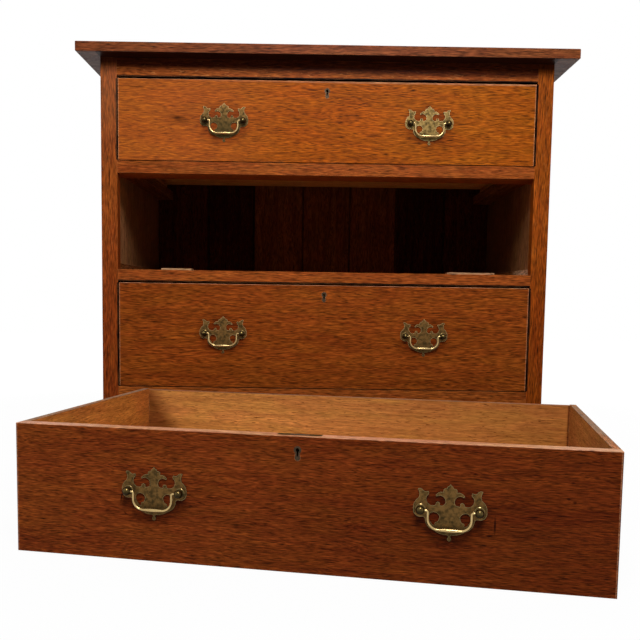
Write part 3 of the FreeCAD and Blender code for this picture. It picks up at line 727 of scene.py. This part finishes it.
class CHEST_OT_linings(bpy.types.Operator):
    """Finish the drawers' sides, backs and bottoms, all left bare"""

    bl_idname = "chest.linings"
    bl_label = "Drawer linings"

    def execute(self, context):
        for drawer, seed in LINING_SEEDS.items():
            for part, step in LINING_STEPS.items():
                self.lining(drawer, part, seed + step)
        return {"FINISHED"}

    def lining(self, drawer, part, seed):
        """Oak, planed and bare: dry and yellow, with open pores and dust along the upper edge."""
        piece = f"{drawer}_{part}"
        low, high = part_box(piece)
        place, turn = low, 0.0
        if drawer == "middle":
            place, turn = Vector((STANDING_PLACE.x, STANDING_PLACE.y, low.z)), STANDING_TURN
        if part.startswith("side"):
            turn += math.pi / 2.0
        oak = settings("chest_oak")
        tones = (oak.floor_light, oak.floor_dark) if part == "bottom" else (oak.bare_light, oak.bare_dark)
        name, turn = f"Oak, planed and bare, {piece}", Euler((0.0, 0.0, turn))
        wood = Wood(name, place, turn, seed, *tones, streak=5.0 * MM, pores=OPEN)
        if piece in INSIDE_SHADES:
            wood.stain(INSIDE_SHADES[piece], depth=1.0)
        if piece == "middle_back":
            self.ends(wood)
        if part != "bottom":
            dustiness = 0.3 if part == "back" else 0.6
            self.upper_edge(wood, high.z - low.z, seed, dustiness)
        give(piece, wood.bare())

    def upper_edge(self, wood, rise, seed, dustiness):
        """Browned by hands, with grey dust in places."""
        upper = wood.fade(wood.axis(2), BROWNED_ABOVE, rise)
        wood.cover(wood.grain("#B67A50", "#8A5432"), upper)
        dust = wood.fade(noise(wood.tree, wood.vector, DUST_SIZE, seed), DUST_LEVELS)
        wood.cover(linear("#8A7C6A"), dust, upper, depth=dustiness)

    def ends(self, wood):
        """Painted shadow in the left corner of the back, painted shade darkening its right end, and a dark
        joint there.
        """
        along = wood.axis(0)
        inputs = {0: wood.axis(2), 1: CORNER_SLOPE, 2: along}
        corner = node(wood.tree, "Math", inputs, operation="MULTIPLY_ADD")
        # Painted shadow in the left corner, then painted shade at the right end
        wood.stain("#7A5A40", wood.fade(corner, CORNER_SHADOW, -HALF_INSIDE), depth=0.8)
        wood.stain("#C0B0A0", wood.fade(along, END_DARKENS), depth=0.7)
        wood.stain("#7A4030", wood.fade(along, DARK_JOINT, HALF_INSIDE), depth=0.75)


# Pine inside the case: the way its grain runs, and its seed
PINE_PIECES = {
    "runners": (ALONG_Y, 111.0),
    "guides": (ALONG_Y, 113.0),
    "kickers": (ALONG_Y, 115.0),
    "glue_blocks": (ALONG_Z, 117.0),
    "back_rail_top": (ALONG_X, 119.0),
    "back_rail_bottom": (ALONG_X, 121.0),
}
STOPS_SEED = 131.0
BACK_SEED = 141.0

# Where the right guides begin, from the edge of the opening, and the depths behind the stiles' face
# between which the drawers have rubbed them
RIGHT_GUIDES = (-60.0 * MM, -50.0 * MM)
GUIDES_RUBBED = (170.0 * MM, 90.0 * MM)

# Left edge of each back board from the first one's, in millimetres, and its tone
BACK_BOARDS = (
    (0.0, "#B08A86"),
    (140.6, "#8E6C68"),
    (259.4, "#FFE6C4"),
    (387.3, "#FADFC0"),
    (509.3, "#F4D6B8"),
    (629.9, "#846460"),
    (755.8, "#A88480"),
)

# How much the boards' tones show outside, and how much more inside, which begins at a depth from the back
TONE_OUTSIDE = 0.4
TONE_INSIDE_ADDS = 0.6
BACK_INSIDE = (-1.0 * MM, -3.0 * MM)

# How far the dirt of a joint between two boards reaches to either side
JOINT_DIRT = (4.0 * MM, 1.0 * MM)


class CHEST_OT_framing(bpy.types.Operator):
    """Finish the pine inside the case: back boards, runners, guides, kickers, stops and blocks"""

    bl_idname = "chest.framing"
    bl_label = "Pine framing"

    def execute(self, context):
        pine = settings("chest_pine")
        for piece, (turn, seed) in PINE_PIECES.items():
            self.member(pine, piece, turn, seed)
        self.stops(pine)
        self.back(pine)
        return {"FINISHED"}

    def member(self, pine, piece, turn, seed):
        """Pine, sawn: brown and dull. The right guides are pale by the front, where drawers rub."""
        tones = (pine.frame_light, pine.frame_dark)
        wood = Wood(f"Pine, sawn, {piece}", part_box(piece)[0], turn, seed, *tones, streak=8.0 * MM)
        if piece == "guides":
            right = wood.fade(wood.place(0), RIGHT_GUIDES, HALF_OPENING)
            front = wood.fade(wood.place(1), GUIDES_RUBBED, FACE_Y)
            wood.cover(wood.grain("#E8C49C", "#C09A70"), right, front)
        give(piece, wood.bare())

    def stops(self, pine):
        """Pine, newer: pale strips against the dark rails."""
        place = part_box("drawer_stops")[0]
        tones = (pine.stop_light, pine.stop_dark)
        wood = Wood("Pine, newer, stops", place, ALONG_X, STOPS_SEED, *tones, streak=7.0 * MM)
        give("drawer_stops", wood.bare())

    def back(self, pine):
        """Pine, aged: boards each with a tone of its own, stronger inside, and dark joints. The middle three
        are paler inside.
        """
        low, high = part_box("back_boards")
        name = "Pine, aged, back boards"
        tones = (pine.board_light, pine.board_dark)
        wood = Wood(name, low, ALONG_Z, BACK_SEED, *tones, streak=11.0 * MM, waver=0.02)
        across = wood.place(0)
        inside = wood.fade(wood.place(1), BACK_INSIDE, high.y)
        inputs = {0: inside, 1: TONE_INSIDE_ADDS, 2: TONE_OUTSIDE}
        share = node(wood.tree, "Math", inputs, operation="MULTIPLY_ADD")
        wood.cover(self.board_tones(wood, across, low.x, high.x), share, blend="MULTIPLY")
        for edge, _ in BACK_BOARDS[1:]:
            joint = wood.away(across, low.x + edge * MM)
            wood.stain("#4A3830", wood.fade(joint, JOINT_DIRT), depth=0.8)
        give("back_boards", wood.bare(pale_edge="#7A5236"))

    def board_tones(self, wood, across, left, right):
        """A tone for each back board."""
        span = node(wood.tree, "MapRange", {0: across, 1: left, 2: right})
        shades = node(wood.tree, "ValToRGB", {0: span})
        bands = shades.node.color_ramp
        bands.interpolation = "CONSTANT"
        while len(bands.elements) < len(BACK_BOARDS):
            bands.elements.new(1.0)
        for element, (edge, shade) in zip(bands.elements, BACK_BOARDS):
            element.position = edge * MM / (right - left)
            element.color = linear(shade)
        return shades


# Metal

# Levels of noise between which tarnish comes in, and how much rougher it makes the metal
TARNISH_LEVELS = (0.35, 0.7)
TARNISH_ROUGHENS = 0.25


def metal(name, face, dull, bright, roughness, patch, tarnish, edge, under=None):
    """A metal whose face is broken by patches of tarnish, with its edges polished bright by wear and given a
    painted highlight.

    Patch is the size of a patch of tarnish, tarnish its depth, and edge the width of a pale edge. Under holds
    two heights, between which the metal darkens downwards, and its share: painted shade and reflection, with
    tarnish on the plates.
    """
    material, tree, shader = new_material(name)
    space = node(tree, "TexCoord", output="Object")
    patches = noise(tree, space, (patch, patch, patch), detail=4.0, roughness=0.6)
    low, high = TARNISH_LEVELS
    spread = node(tree, "MapRange", {0: patches, 1: low, 2: high}, **SMOOTH)
    share = product(tree, spread, tarnish)
    colour = node(tree, "Mix", {0: share, 6: linear(face), 7: linear(dull)}, **MIXED)
    # Pale edges: polished bright by wear, with a painted highlight
    inputs = {0: edge_mask(tree, edge, samples=6), 6: colour, 7: linear(bright)}
    colour = node(tree, "Mix", inputs, **MIXED)
    # Painted shade and reflection, darker downwards, with tarnish on the plates
    if under:
        upper, lower, depth = under
        height = node(tree, "SeparateXYZ", {0: space}, output="Z")
        fall = node(tree, "MapRange", {0: height, 1: upper, 2: lower}, **SMOOTH)
        inputs = {0: product(tree, fall, depth), 6: colour, 7: linear(dull)}
        colour = node(tree, "Mix", inputs, **MIXED)
    inputs = {0: share, 1: TARNISH_ROUGHENS, 2: roughness}
    rough = node(tree, "Math", inputs, operation="MULTIPLY_ADD")
    bump = node(tree, "Bump", {"Strength": 0.25, "Distance": 0.2 * MM, "Height": patches})
    connect(tree, shader, {"Base Color": colour, "Metallic": 1.0, "Roughness": rough, "Normal": bump})
    return material


# Where plates and posts darken downwards, a painted dark reflection on the posts and painted shade with
# tarnish on the plates: two heights from the posts, and the share
PLATE_UNDER = (-8.0 * MM, -30.0 * MM, 0.45)
DARK_PLATE_UNDER = (40.0 * MM, -20.0 * MM, 0.8)
POST_UNDER = (2.0 * MM, -2.5 * MM, 0.85)


def from_floor(under, height):
    """The same, with both heights counted from the floor."""
    upper, lower, depth = under
    return height + upper, height + lower, depth


def polished_brass(brass):
    """The bails: hands keep them bright, and each curve carries a painted highlight along its edges."""
    tones = {"face": brass.bail_colour, "dull": "#8A7044", "bright": "#DCC494"}
    surface = {"roughness": 0.24, "patch": 9.0 * MM, "tarnish": 0.4, "edge": 0.5 * MM}
    return metal("Brass, polished by hands", **tones, **surface)


def cast_brass(brass, handle, height):
    """The backplates: mottled olive faces inside a thin bright outline, polished by wear and given a painted
    highlight, darker below with tarnish and painted shade.
    """
    tones = {"face": brass.plate_colour, "dull": "#2E2614", "bright": brass.plate_bright}
    if handle == "top_right":
        tones["face"] = brass.plate_yellow
    if handle.startswith("middle"):
        tones["bright"] = brass.plate_dim_edge
    under = from_floor(DARK_PLATE_UNDER if handle == "top_left" else PLATE_UNDER, height)
    surface = {"roughness": 0.44, "patch": 6.0 * MM, "tarnish": 0.85, "edge": brass.edge_width}
    return metal(f"Brass, cast and aged, {handle}", **tones, **surface, under=under)


def turned_brass(brass, drawer, height):
    """The posts: smooth balls with a small highlight above, and near black below as a painted dark
    reflection.
    """
    tones = {"face": brass.post_colour, "dull": "#1E180E", "bright": "#7A6440"}
    under = from_floor(POST_UNDER, height)
    surface = {"roughness": 0.16, "patch": 5.0 * MM, "tarnish": 0.6, "edge": brass.edge_width}
    return metal(f"Brass, turned and tarnished, {drawer}", **tones, **surface, under=under)


def inlaid_brass():
    """The escutcheons: dull dark rings that barely leave the wood."""
    tones = {"face": "#46382A", "dull": "#2A2018", "bright": "#50443A"}
    return metal("Brass, inlaid and dull", **tones, roughness=0.5, patch=3.0 * MM, tarnish=0.6, edge=0.4 * MM)


def dark_brass():
    """The locks: brown with age, and yellow only at their corners."""
    tones = {"face": "#5A4826", "dull": "#33260F", "bright": "#8A7040"}
    return metal("Brass, dark with age", **tones, roughness=0.5, patch=5.0 * MM, tarnish=0.6, edge=0.8 * MM)


def filed_steel():
    """The bolts and screws: grey, with a satin shine."""
    tones = {"face": "#7E7A74", "dull": "#4E4A45", "bright": "#A8A49E"}
    return metal("Steel, filed", **tones, roughness=0.38, patch=2.0 * MM, tarnish=0.5, edge=0.5 * MM)


class CHEST_OT_metalwork(bpy.types.Operator):
    """Finish the brass handles, escutcheons, nuts and locks, and the steel bolts and screws"""

    bl_idname = "chest.metalwork"
    bl_label = "Metalwork"

    def execute(self, context):
        brass = settings("chest_brass")
        bail, inlay, case, steel = polished_brass(brass), inlaid_brass(), dark_brass(), filed_steel()
        for drawer in ("top", "middle", "bottom"):
            height = JOINTS[f"{drawer}_bail_left_swing"]["pos_m"][2]
            post = turned_brass(brass, drawer, height)
            finishes = {
                "plate_left": cast_brass(brass, f"{drawer}_left", height),
                "plate_right": cast_brass(brass, f"{drawer}_right", height),
                "bail_left": bail,
                "bail_right": bail,
                "posts": post,
                "nuts": post,
                "escutcheon": inlay,
                "lock": case,
                "bolt": steel,
            }
            for part, material in finishes.items():
                give(f"{drawer}_{part}", material)
        give("screws", steel)
        return {"FINISHED"}


# Stage

WHITE = (1.0, 1.0, 1.0, 1.0)
FLOOR_HALF = 6.0
FLOOR_DROP = 0.2 * MM
# Reach from the middle of the floor within which it takes shadow, and from which it is plain white
SHADOW_REACH = (1.4, 3.2)

# Lamps: place, point they are turned to, width and the setting of their power
LAMPS = {
    "Key": ((0.06, -1.45, 1.72), (0.0, 0.05, 0.45), 0.75, "key_power"),
    "Side_left": ((-2.4, 0.7, 1.1), (0.0, 0.35, 0.45), 1.2, "side_power"),
    "Side_right": ((2.4, 0.7, 1.1), (0.0, 0.35, 0.45), 1.2, "side_power"),
    "Back": ((0.3, 2.5, 1.6), (0.0, 0.5, 0.45), 0.9, "back_power"),
}


def background_rays(tree):
    """1 for rays from the camera, from gloss and through glass, which see a plain white studio."""
    seen = 0.0
    for kind in ("Is Camera Ray", "Is Glossy Ray", "Is Transmission Ray"):
        ray = node(tree, "LightPath", output=kind)
        seen = node(tree, "Math", {0: ray, 1: seen}, operation="MAXIMUM")
    return seen


class CHEST_OT_stage(bpy.types.Operator):
    """Lay the pale floor, set the lamps and the world, and place the camera"""

    bl_idname = "chest.stage"
    bl_label = "Stage"

    def execute(self, context):
        stage = settings("chest_stage")
        self.floor(stage)
        self.world(stage)
        for name, (place, target, width, power) in LAMPS.items():
            self.lamp(name, Vector(place), Vector(target), width, getattr(stage, power))
        self.camera(stage)
        context.scene.view_settings.view_transform = "Standard"
        return {"FINISHED"}

    def floor(self, stage):
        """A sheet of white paper that keeps a faint shadow of the object near its middle."""
        mesh = bpy.data.meshes.new("Floor")
        shape = bmesh.new()
        bmesh.ops.create_grid(shape, x_segments=1, y_segments=1, size=FLOOR_HALF)
        bmesh.ops.translate(shape, verts=shape.verts, vec=(0.0, 0.0, -FLOOR_DROP))
        shape.to_mesh(mesh)
        shape.free()
        mesh.materials.append(self.paper(stage))
        floor = bpy.data.objects.new("Floor", mesh)
        bpy.context.scene.collection.objects.link(floor)

    def paper(self, stage):
        """Paper, matt: plain white to the eye, with a share that takes shadow."""
        material, tree, shader = new_material("Paper, matt, studio floor")
        connect(tree, shader, {"Base Color": linear("#8C8C8C"), "Roughness": 0.9})
        glow = node(tree, "Emission", {"Color": WHITE, "Strength": stage.floor_glow})
        place = node(tree, "TexCoord", output="Object")
        reach = node(tree, "VectorMath", {0: place}, output="Value", operation="LENGTH")
        near, far = SHADOW_REACH
        shaded = node(tree, "MapRange", {0: reach, 1: far, 2: near}, **SMOOTH)
        shade = product(tree, shaded, stage.floor_shade)
        plain = node(tree, "Math", {0: 1.0, 1: shade}, operation="SUBTRACT")
        share = product(tree, background_rays(tree), plain)
        both = node(tree, "MixShader", {0: share, 1: shader.outputs[0], 2: glow})
        output = next(item for item in tree.nodes if item.type == "OUTPUT_MATERIAL")
        connect(tree, output, {"Surface": both})
        return material

    def world(self, stage):
        """Dim light from all round, behind which the background is plain white."""
        world = bpy.data.worlds.new("Studio")
        world.use_nodes = True
        tree = world.node_tree
        tree.nodes.clear()
        dim = node(tree, "Background", {"Color": WHITE, "Strength": stage.world_level})
        plain = node(tree, "Background", {"Color": WHITE, "Strength": 1.0})
        both = node(tree, "MixShader", {0: background_rays(tree), 1: dim, 2: plain})
        node(tree, "OutputWorld", {"Surface": both})
        bpy.context.scene.world = world

    def lamp(self, name, place, target, width, power):
        """A round area lamp, turned to a point."""
        data = bpy.data.lights.new(name, "AREA")
        data.energy = power
        data.shape = "DISK"
        data.size = width
        lamp = bpy.data.objects.new(name, data)
        lamp.location = place
        lamp.rotation_euler = (target - place).to_track_quat("-Z", "Y").to_euler()
        bpy.context.scene.collection.objects.link(lamp)

    def camera(self, stage):
        """The photograph's own view: turned, tilted and leaned in that order, with its lens shift."""
        turn = (
            Matrix.Rotation(stage.camera_yaw, 3, "Z")
            @ Matrix.Rotation(stage.camera_pitch, 3, "X")
            @ Matrix.Rotation(stage.camera_roll, 3, "Y")
        )
        right, forward, up = turn.col
        rotation = Matrix((right, up, -forward)).transposed().to_4x4()
        data = bpy.data.cameras.new("Camera")
        data.lens = stage.camera_lens
        data.shift_x, data.shift_y = stage.camera_shift
        camera = bpy.data.objects.new("Camera", data)
        camera.matrix_world = Matrix.Translation(stage.camera_place) @ rotation
        bpy.context.scene.collection.objects.link(camera)
        bpy.context.scene.camera = camera


class CHEST_PT_panel(bpy.types.Panel):
    """Buttons for each step and boxes with the settings"""

    bl_idname = "CHEST_PT_panel"
    bl_label = "Chest of drawers"
    bl_space_type = "VIEW_3D"
    bl_region_type = "UI"
    bl_category = "Chest"

    def draw(self, context):
        for operator in OPERATORS:
            self.layout.operator(operator.bl_idname)
        for name in GROUPS:
            group = settings(name)
            box = self.layout.box()
            for key in group.__annotations__:
                box.prop(group, key)


GROUPS = {
    "chest_oak": OakSettings,
    "chest_fronts": FrontSettings,
    "chest_pine": PineSettings,
    "chest_brass": BrassSettings,
    "chest_stage": StageSettings,
}
OPERATORS = (
    CHEST_OT_case,
    CHEST_OT_fronts,
    CHEST_OT_linings,
    CHEST_OT_framing,
    CHEST_OT_metalwork,
    CHEST_OT_stage,
)
CLASSES = (*GROUPS.values(), *OPERATORS, CHEST_PT_panel)


def register():
    for cls in CLASSES:
        bpy.utils.register_class(cls)
    for name, group in GROUPS.items():
        setattr(bpy.types.Scene, name, PointerProperty(type=group))


def unregister():
    for name in GROUPS:
        delattr(bpy.types.Scene, name)
    for cls in reversed(CLASSES):
        bpy.utils.unregister_class(cls)


def main():
    register()
    bpy.ops.chest.case()
    bpy.ops.chest.fronts()
    bpy.ops.chest.linings()
    bpy.ops.chest.framing()
    bpy.ops.chest.metalwork()
    bpy.ops.chest.stage()


if __name__ == "__main__":
    main()
